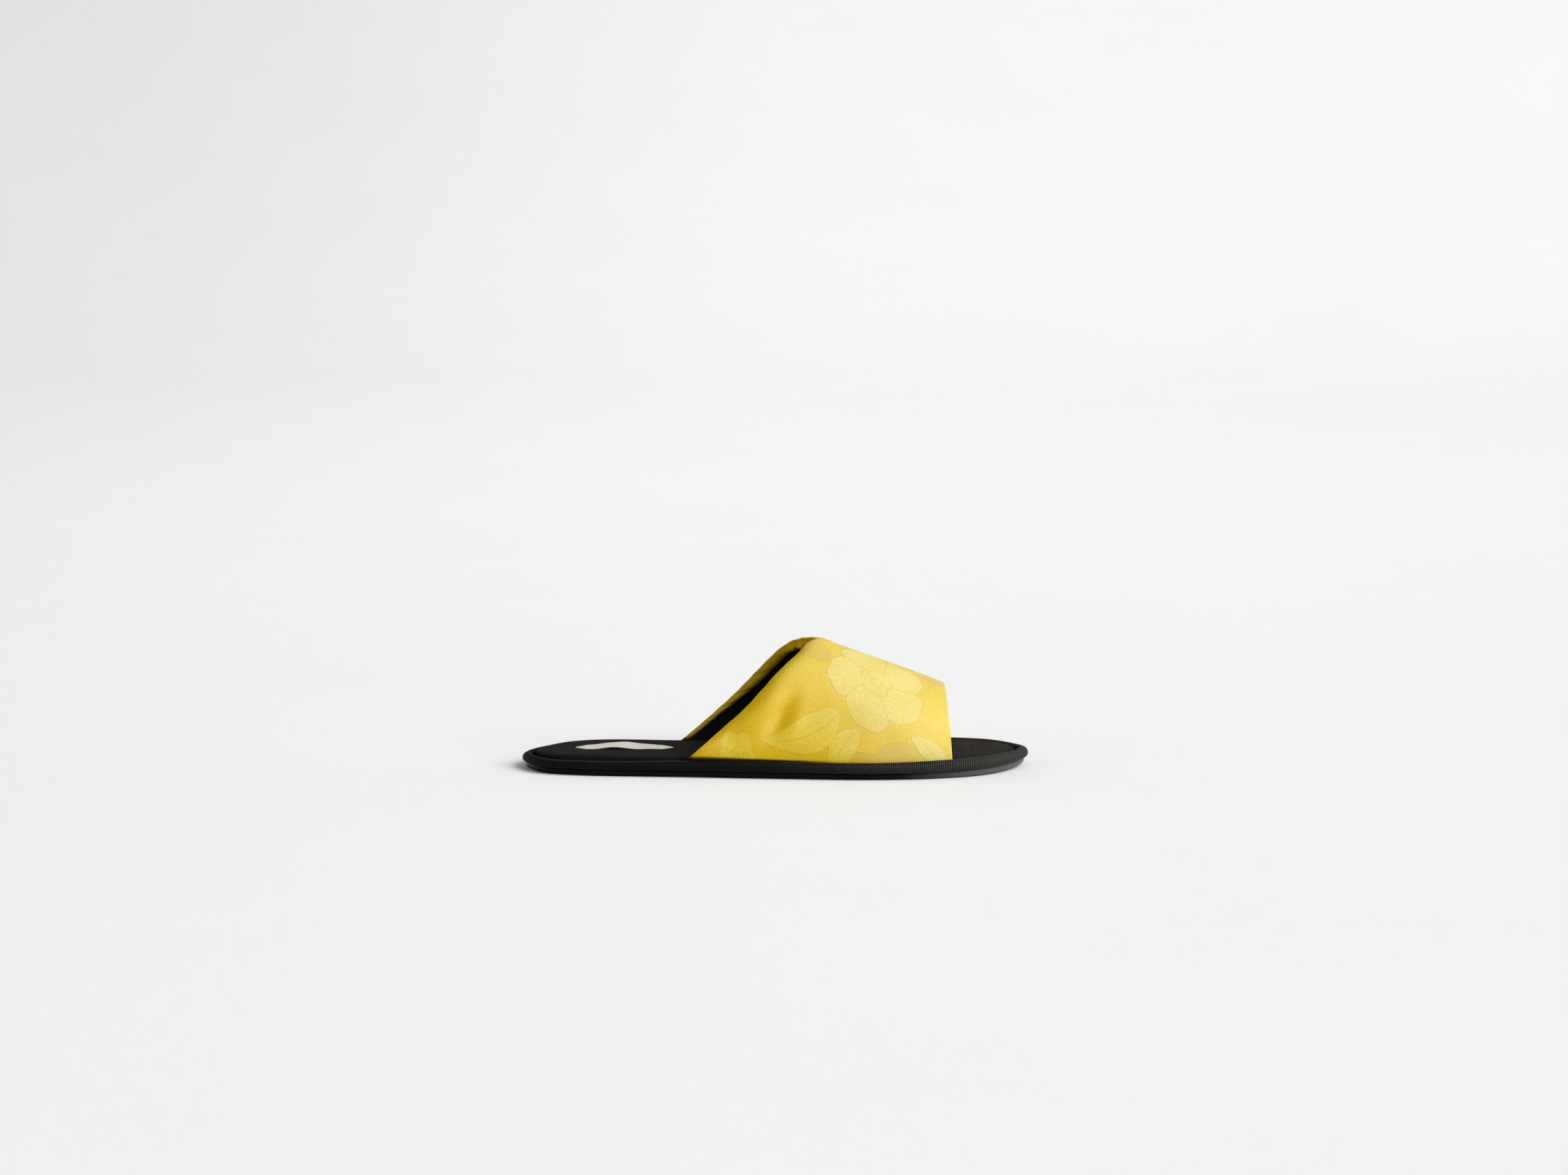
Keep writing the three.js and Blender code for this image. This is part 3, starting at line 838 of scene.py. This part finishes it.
# Spray of small leaves on a stem: base, direction in degrees, length, pairs of leaves
SPRAY = (44, 30, 30, 34, 6)


def leaf_distance(p, q, x, y, angle, length, width, bend):
    """Signed distance to a leaf with a bent axis, and distance to its ribs."""
    along, off = turned(p, q, x, y, angle)
    t = np.clip(along / length, 0, 1)
    off = np.abs(off - bend * length * 4 * t * (1 - t))
    half = width / 2 * np.sin(math.pi * t**0.72) ** 0.95
    beyond = np.maximum(0, np.maximum(-along, along - length))
    distance = np.where(beyond > 0, np.hypot(beyond, off), (off - half) * 0.92)
    ribs = np.where((t > 0.08) & (t < 0.8) & (beyond == 0), off, FAR)
    return distance, ribs


def blossom_distance(p, q, x, y, radius, petals, turn):
    """Signed distance to a blossom of broad petals, and distance to the lines between them."""
    r = np.hypot(p - x, q - y)
    angle = np.arctan2(q - y, p - x) - math.radians(turn) - 0.35 * r / radius
    wave = np.abs(np.cos(petals * angle / 2))
    size = 1 + 0.06 * np.sin(angle + 1) + 0.05 * np.sin(2 * angle + 0.5)
    edge = radius * size * (0.72 + 0.28 * wave**0.55 + 0.02 * np.sin(13 * angle) * wave)
    folds = np.abs(np.sin((angle * petals / 2 + math.pi / 2) % math.pi)) * 2 / petals * r
    lines = np.where((r < edge) & (r > radius * 0.3), folds, FAR)
    inner = radius * (0.24 + 0.07 * np.abs(np.cos(petals * angle / 2 + 0.8)))
    lines = np.minimum(lines, np.abs(r - inner))
    lines = np.minimum(lines, np.abs(r - radius * 0.1))
    return (r - edge) * 0.9, lines


def spray_distance(p, q, x, y, angle, length, pairs):
    """Signed distance to a stem with pairs of small leaves that shorten towards its tip."""
    along, off = turned(p, q, x, y, angle)
    t = np.clip(along / length, 0, 1)
    off = off - 0.1 * length * 4 * t * (1 - t)
    best = np.maximum(np.abs(off) - 0.45, np.maximum(-along, along - length))
    for k in range(pairs):
        at = length * (0.12 + 0.8 * k / pairs)
        size = 11.5 * (1 - 0.55 * k / pairs)
        for side in (-1, 1):
            leaf, _ = leaf_distance(along, off * side, at, 0.4, 48, size, size * 0.4, 0.08)
            best = np.minimum(best, leaf)
    tip, _ = leaf_distance(along, off, length * 0.92, 0, 0, 6, 2.6, 0)
    return np.minimum(best, tip)


def figures(p, q):
    """Signed distances to the nearest matt and tan figure, and distance to the nearest line in it."""
    matt, tan, line = (np.full(p.shape, FAR) for _ in range(3))
    for column in (-1, 0, 1):
        for row in (-1, 0, 1):
            a = p - column * REPEAT[0]
            b = q - (row + 0.5 * (column % 2)) * REPEAT[1]
            for leaf in TAN_LEAVES:
                tan = np.minimum(tan, leaf_distance(a, b, *leaf)[0])
            for leaf in LEAVES:
                distance, rib = leaf_distance(a, b, *leaf)
                line = np.where(distance < 0, rib, line)
                matt = np.minimum(matt, distance)
            matt = np.minimum(matt, spray_distance(a, b, *SPRAY))
            for blossom in BLOSSOMS:
                distance, lines = blossom_distance(a, b, *blossom)
                line = np.where(distance < 0, lines, line)
                matt = np.where(distance < 1, distance, matt)
    tan = np.maximum(tan, 0.9 - matt)
    return matt, tan, line


def make_upper():
    """One band of lined cloth from hem to hem, its throat edge turned in as a facing."""
    v = np.linspace(-1, 1, AROUND_STEPS + 1)
    throat = upper_shape(0.0, v)
    gap = np.linalg.norm(upper_shape(0.2, v) - throat, axis=-1) / 0.2
    facing = FACING_FOOT_WIDTH + (FACING_WALL_WIDTH - FACING_FOOT_WIDTH) * smooth(throat[:, 2], *FACING_RISE)
    past_crest = np.abs(round_from_crest(throat) + FACING_CREST_SHIFT)
    facing += (FACING_CREST_WIDTH - FACING_WALL_WIDTH) * (1 - smooth(past_crest, *FACING_CREST_REACH))
    facing /= gap
    turn = TOE_TURN / np.linalg.norm(upper_shape(1.0, v) - upper_shape(0.8, v), axis=-1) * 0.2
    outside_u = np.repeat(np.linspace(0, 1, OUTSIDE_STEPS)[:, None], len(v), 1)
    lining_end = 1 - turn - LINING_START
    inside_u = np.concatenate([
        1 - turn * np.linspace(0, 1, TURN_STEPS)[:, None],
        lining_end + (facing + LINING_START - lining_end) * np.linspace(0, 1, LINING_STEPS)[:, None],
        facing * np.linspace(1, 0, FACING_STEPS)[:, None],
    ])
    lined = np.repeat([False, True, False], [TURN_STEPS, LINING_STEPS, FACING_STEPS])

    def wall(u, inner):
        """Points of the wall, the way ahead, the cloth's own two distances, and the depth of the pinches.

        inner says which rows are lined. It is None outside.
        """
        vv = np.broadcast_to(v, u.shape)
        base = upper_shape(u, vv)
        z = base[..., 2]
        out, ahead = upper_frame(u, vv)
        run = round_from_crest(base)
        from_throat = u * gap
        push = crease_height(base, vv, from_throat, run)
        folded = np.zeros(u.shape)
        if inner is not None:
            high = smooth(z, *INSIDE_RISE)
            turned_in = (~inner)[:, None] * (u < 0.5) * high
            crest = near_crest(run)
            roll = throat_roll(z, vv, crest)
            share = np.clip(u / facing, 0, 1)
            bead = (roll + BEAD_DEPTH) * (1 - share) + (WALL + FACING_STEP) * share
            bulge = np.sin(math.pi * share ** (1 - BEAD_CREST_SHIFT * crest))
            bead += (BEAD_BULGE + BEAD_CREST_BULGE * crest) * bulge
            tuck = LINING_TUCK * inner[:, None] * high
            curl = roll * roll_share(from_throat)
            push = push - WALL + tuck - turned_in * (bead - WALL - curl)
            fade = 1 - PINCH_FADE * smooth(share, *PINCH_FADE_REACH)
            below_edge = turned_in * smooth(from_throat, *PINCH_START) * bell(from_throat, PINCH_REACH) * fade
            for place, half_width, lean, depth in FACING_PINCHES:
                valley = below_edge * depth * bell(run - place - lean * from_throat, half_width)
                push = push + valley
                folded = np.maximum(folded, valley)
            for height, half_width, depth in KINKS:
                off = z - height - KINK_LEAN * from_throat
                push = push - (vv > 0) * turned_in * depth * bell(off, half_width)
        waver = np.sin(z * 0.31 + vv * 4) + 0.8 * np.sin(z * 0.83 - vv * 7)
        edge = EDGE_WAVER * bell(from_throat, WAVER_REACH) * waver * smooth(z, *WAVER_RISE)
        slack = THROAT_SLACK * smooth(z, *SLACK_RISE) * smooth(-vv, *SLACK_ROUND)
        edge = edge - slack * bell(from_throat, SLACK_REACH)
        moved = base + out * push[..., None] + ahead * edge[..., None]
        cloth = base[..., 0]
        if inner is not None:
            cloth = cloth[:1] - FACING_CLOTH_SHIFT - FACING_CLOTH_STRETCH * from_throat
        return moved, ahead, cloth, run, folded

    outside, ahead, cloth_p, cloth_q, _ = wall(outside_u, None)
    inside, _, inside_p, inside_q, folded = wall(inside_u, lined)

    def fold(a, b, direction):
        """A round fold from edge a to edge b."""
        t = np.linspace(0, math.pi, FOLD_STEPS + 2)[1:-1, None, None]
        return a + (b - a) * (1 - np.cos(t)) / 2 + direction * FOLD_REACH * np.sin(t)

    toe_fold = fold(outside[-1], inside[0], ahead[-1])
    throat_fold = fold(inside[-1], outside[0], -ahead[0])
    loops = np.concatenate([outside, toe_fold, inside, throat_fold])
    rows, columns = loops.shape[:2]
    faces = grid_faces(rows, columns, close_rows=True)
    face_rows = np.repeat(np.arange(rows), columns - 1)
    first = OUTSIDE_STEPS + FOLD_STEPS + TURN_STEPS
    lining_faces = (face_rows >= first - 1) & (face_rows < first + LINING_STEPS)
    for end in (0, columns - 1):
        faces.append(tuple(range(end, rows * columns, columns)))
    points = loops.reshape(-1, 3)
    piece = make_piece("upper_cloth", points, faces, [jacquard_material(), lining_material()])
    piece.data.polygons.foreach_set("material_index", np.append(lining_faces, [True, True]).astype(np.int32))
    past = np.linspace(-2.2, -0.4, FOLD_STEPS)[:, None]
    p = np.concatenate([cloth_p, cloth_p[-1:] - past[::-1], inside_p, cloth_p[:1] + past])
    q = np.concatenate([cloth_q, cloth_q[-1:] + 0 * past, inside_q, cloth_q[:1] + 0 * past])
    shown = OUTSIDE_STEPS + FOLD_STEPS
    woven = np.full((3, *p.shape), FAR)
    woven[:, :shown] = figures(p[:shown], q[:shown])
    figure, figure_tan, vein = (layer.ravel() for layer in woven)
    # Painted shade along the rear hem, where the cloth meets the ribbon
    low = points[:, 2] - SEAT - BINDING_HEIGHT - spring(points[:, 0])
    soil = (1 - smooth(low, 0.1, 0.9 + 1.3 * hem_reach(points[:, 0]))) * hem_share(points[:, 0])
    # Painted shade: a band along the outer throat edge, the turned-in toe rows, the facing (darkest towards
    # the lining and in its pinches) and the throat's fold
    near_edge = bell(outside_u * gap, EDGE_BAND) * smooth(-v, 0.05, 0.25)
    painted_facing_shade = np.linspace(1, 0.6, FACING_STEPS)[:, None] + PINCH_SHADE * folded[-FACING_STEPS:]
    painted_inside_shade = np.concatenate([
        EDGE_SHADE * near_edge,
        np.zeros(toe_fold.shape[:2]),
        np.full((TURN_STEPS + LINING_STEPS, len(v)), LINING_SHADE),
        np.minimum(1, painted_facing_shade),
        np.linspace(0.5, 0.3, FOLD_STEPS)[:, None] + np.zeros(len(v)),
    ])
    add_floats(piece, cloth_p=p.ravel(), cloth_q=q.ravel(), figure=figure, figure_tan=figure_tan, vein=vein,
               soil=soil, inside=painted_inside_shade.ravel())
    turn_outward(piece)
    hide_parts("upper")


# Stray fibres along the hem

HEM_FIBRES = 6500
HEM_SPAN = (-52, 92)
HEM_ROOT_ACROSS, HEM_ROOT_HEIGHT = (-0.1, 0.3), (7.6, 9.2)
HEM_LEAN_ALONG, HEM_LEAN_ACROSS = 0.75, 0.25
HEM_SHORTEST, HEM_LENGTH_SHARE = 0.35, (0.05, 0.75)
HEM_THICKNESS = (0.03, 0.06)

# Share of the fibres and of the painted hem shade that is left at the front, and where they thin out
HEM_THIN, HEM_THIN_ALONG = 0.25, (0, 45)


def hem_reach(x):
    """How far the frayed fibres stand above the ribbon, and how far the painted hem shade reaches: most at
    the rear end of the hem.
    """
    return 0.45 + 1.6 * (1 - smooth(x, -46, 20)) - 0.2 * smooth(x, 30, 70)


def hem_share(x):
    """Share of the fibres and of the painted hem shade that is left."""
    return HEM_THIN + (1 - HEM_THIN) * (1 - smooth(x, *HEM_THIN_ALONG))


def make_hem_fuzz():
    """Short dark fibres that stand up from the groove along the hem, outside the cloth."""
    rng = np.random.default_rng(SEED)
    for side, name in ((-1, "hem_fuzz_outer"), (1, "hem_fuzz_inner")):
        x = rng.uniform(*HEM_SPAN, HEM_FIBRES)
        x = x[rng.random(HEM_FIBRES) < hem_share(x)]
        count = len(x)
        y = edge_across(x, side, HEM_INSET - 0.2) + side * rng.uniform(*HEM_ROOT_ACROSS, count)
        roots = np.column_stack([x, y, rng.uniform(*HEM_ROOT_HEIGHT, count) + spring(x)])
        along, across = rng.normal(0, HEM_LEAN_ALONG, count), side * rng.normal(0, HEM_LEAN_ACROSS, count)
        way = unit(np.column_stack([along, across, np.ones(count)]))
        clump = 0.75 + 0.35 * np.sin(x * 1.7) * np.sin(x * 0.63 + 1) + 0.2 * np.sin(x * 4.1)
        length = HEM_SHORTEST + clump * hem_reach(x) * rng.uniform(*HEM_LENGTH_SHARE, count)
        thick = rng.uniform(*HEM_THICKNESS, count)
        material = fibre_material("fuzz", 0, 300, 0.35, (0.0015, 0.0011, 0.0009), (0.008, 0.0045, 0.0022))
        add_spikes(name, roots, way * length[:, None], thick, material)


# Label

LABEL_X, LABEL_LENGTH, LABEL_WIDTH, LABEL_THICKNESS = -83.6, 54, 10.5, 0.25

# Its pointed ends: length, share of the width left at the tip
LABEL_POINT, LABEL_TIP = 6, 0.12
LABEL_STEPS = (90, 18)

# Its two long edges: height where it lies, then the buckle's height, place and half length
LABEL_NEAR_EDGE = (10.35, 1.15, -89, 6.5)
LABEL_FAR_EDGE = (10.7, 1.9, -85, 13)
LABEL_END_HEIGHT, LABEL_END_REACH = 10.4, 9
LABEL_RIPPLE, LABEL_RIPPLE_REACH = 0.08, (3, 12)
LABEL_ROUNDING = 0.08


def make_label():
    """Plain woven tape with pointed ends, sewn down at both and buckled up between them."""
    nx, ny = LABEL_STEPS
    along = np.linspace(-0.5, 0.5, nx) * LABEL_LENGTH
    x = LABEL_X + along
    from_end = LABEL_LENGTH / 2 - np.abs(along)
    share_open = LABEL_TIP + (1 - LABEL_TIP) * np.minimum(1, from_end / LABEL_POINT)
    half = LABEL_WIDTH / 2 * share_open
    near, far = (low + lift * bell(x - place, reach)
                 for low, lift, place, reach in (LABEL_NEAR_EDGE, LABEL_FAR_EDGE))
    middle = LABEL_END_HEIGHT + ((near + far) / 2 - LABEL_END_HEIGHT) * smooth(from_end, 0, LABEL_END_REACH)
    a, s = np.meshgrid(along, np.linspace(-1, 1, ny), indexing="ij")
    y = s * half[:, None]
    ripple = LABEL_RIPPLE * np.sin(a * 0.5 + 0.8) * np.abs(s) * smooth(from_end, *LABEL_RIPPLE_REACH)[:, None]
    bottom = middle[:, None] + s * ((far - near) / 2 * share_open)[:, None] + ripple
    low = np.stack([LABEL_X + a, y, bottom], -1)
    high = low + [0, 0, LABEL_THICKNESS]
    high[:, [0, -1], 2] -= LABEL_ROUNDING
    high[[0, -1], :, 2] -= LABEL_ROUNDING
    loops = np.concatenate([low, high[:, ::-1]], 1)
    faces = grid_faces(nx, 2 * ny, close_columns=True)
    for first in (0, (nx - 1) * 2 * ny):
        for j in range(ny - 1):
            faces.append((first + j, first + j + 1, first + 2 * ny - 2 - j, first + 2 * ny - 1 - j))
    piece = make_piece("label_tape", loops.reshape(-1, 3), faces, [tape_material()])
    edge = np.minimum(half[:, None] - np.abs(y), from_end[:, None])
    p, q, from_edge = (np.concatenate([grid, grid[:, ::-1]], 1).ravel() for grid in (a, y, edge))
    add_floats(piece, cloth_p=p, cloth_q=q, from_edge=from_edge)
    turn_outward(piece)
    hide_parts("label")


# Stage: camera, floor and light

PHOTO = (2212, 1658)
LENS = 80
SENSOR = 36
ELEVATION = 9.7
DISTANCE = 1936
TARGET = (0, 4.1, 6)
TARGET_PIXEL = (1094, 1064)
ROOM_LIGHT = 0.12

# Lights: strength, angle in degrees, where from
LIGHTS = {
    "key": (3.9, 44, (0.72, -0.41, 0.56)),
    "fill": (0.84, 100, (0.4, -0.3, 0.87)),
    "side": (0.4, 40, (0.93, 0.2, 0.3)),
}

# Floor: points round, radii of its flat rings, radius, rows and top of the sweep
FLOOR_STEPS = 72
FLOOR_RINGS = (0, 1000, 1500, 2200, 3000)
SWEEP_RADIUS, SWEEP_STEPS, SWEEP_TOP = 3500, 16, 5000
FLOOR_TONE, PALEST_TONE = 0.825, 0.9

# Darker to the left, and at the foot of the sweep, which throws light back on it
LEFT_SHADE, LEFT_SHADE_ALONG = 0.15, (-1500, 300)
SWEEP_SHADE, SWEEP_SHADE_RADIUS, SWEEP_SHADE_REACH = 0.055, 2950, 700


def add_camera():
    """Camera at the photo's height and distance, turned so that the target falls on its pixel."""
    data = bpy.data.cameras.new("camera")
    data.lens = LENS
    data.sensor_width = SENSOR
    data.clip_start, data.clip_end = 0.05, 50
    pixels = PHOTO[0] * LENS / SENSOR
    e = math.radians(ELEVATION)
    back = Vector((0, -math.cos(e), math.sin(e)))
    right = Vector((1, 0, 0))
    up = back.cross(right)
    pan, tilt = (math.atan((at - size / 2) / pixels) for at, size in zip(TARGET_PIXEL, PHOTO))
    ahead = -back * math.cos(tilt) + up * math.sin(tilt)
    up = right.cross(ahead)
    ahead = ahead * math.cos(pan) - right * math.sin(pan)
    right = ahead.cross(up)
    camera = add_object("camera", data)
    turn = Matrix((right, up, -ahead)).transposed().to_4x4()
    camera.matrix_world = Matrix.Translation((Vector(TARGET) + back * DISTANCE) * MM) @ turn
    bpy.context.scene.camera = camera


def add_floor():
    """Pale round floor that sweeps up far away, its tone evened out against the light it gets."""
    lean = np.linspace(0, math.pi / 2, SWEEP_STEPS + 1)[1:]
    flat = np.zeros(len(FLOOR_RINGS))
    radius = np.concatenate([FLOOR_RINGS, FLOOR_RINGS[-1] + SWEEP_RADIUS * np.sin(lean)])
    z = np.concatenate([flat, SWEEP_RADIUS * (1 - np.cos(lean)), [SWEEP_TOP]])[:, None]
    radius, lean = (np.append(row, row[-1])[:, None] for row in (radius, np.concatenate([flat, lean])))
    turn = math.tau * np.arange(FLOOR_STEPS) / FLOOR_STEPS
    across, ahead, level = np.cos(turn), np.sin(turn), 0 * turn
    facing = np.stack([-np.sin(lean) * across, -np.sin(lean) * ahead, np.cos(lean) + level], -1)
    sky = (1 + facing[..., 2]) / 2
    light = ROOM_LIGHT * sky + FLOOR_TONE * (1 - sky)
    for strength, _, source in LIGHTS.values():
        light += strength * np.maximum(0, facing @ unit(np.array(source))) / math.pi
    shade = 1 - LEFT_SHADE * (1 - smooth(radius * across, *LEFT_SHADE_ALONG))
    shade *= 1 - SWEEP_SHADE * bell(radius - SWEEP_SHADE_RADIUS, SWEEP_SHADE_REACH)
    tones = np.minimum(PALEST_TONE, FLOOR_TONE / light) * shade
    points = np.stack([radius * across, radius * ahead, z + level], -1).reshape(-1, 3)
    faces = [face[::-1] for face in grid_faces(len(radius), FLOOR_STEPS, close_columns=True)]
    n = Nodes("floor", 0.05, Roughness=0.8)
    tone = n.times(n.value("tone"), n.ramp(n.noise(n.place(), 4), 0.2, 0.8, 0.995, 1.005))
    material = n.finish(n.add("CombineColor", tone, tone, tone).outputs[0])
    floor = add_object("floor", make_mesh("floor", points, faces, [material]))
    floor.visible_shadow = False
    add_floats(floor, tone=tones.ravel())


def add_lights():
    """Dim white room, broad key from the right, very wide fill from above, low light past the toe."""
    world = bpy.data.worlds.new("room")
    world.use_nodes = True
    sky = world.node_tree.nodes["Background"].inputs
    sky["Color"].default_value = (1, 1, 1, 1)
    sky["Strength"].default_value = ROOM_LIGHT
    bpy.context.scene.world = world
    for name, (strength, angle, source) in LIGHTS.items():
        data = bpy.data.lights.new(name, "SUN")
        data.energy = strength
        data.angle = math.radians(angle)
        add_object(name, data).rotation_euler = Vector(source).to_track_quat("Z", "Y").to_euler()
    bpy.context.scene.view_settings.view_transform = "Standard"


add_camera()
add_floor()
add_lights()
make_outsole()
make_ribbon()
make_insole()
make_upper()
make_hem_fuzz()
make_label()
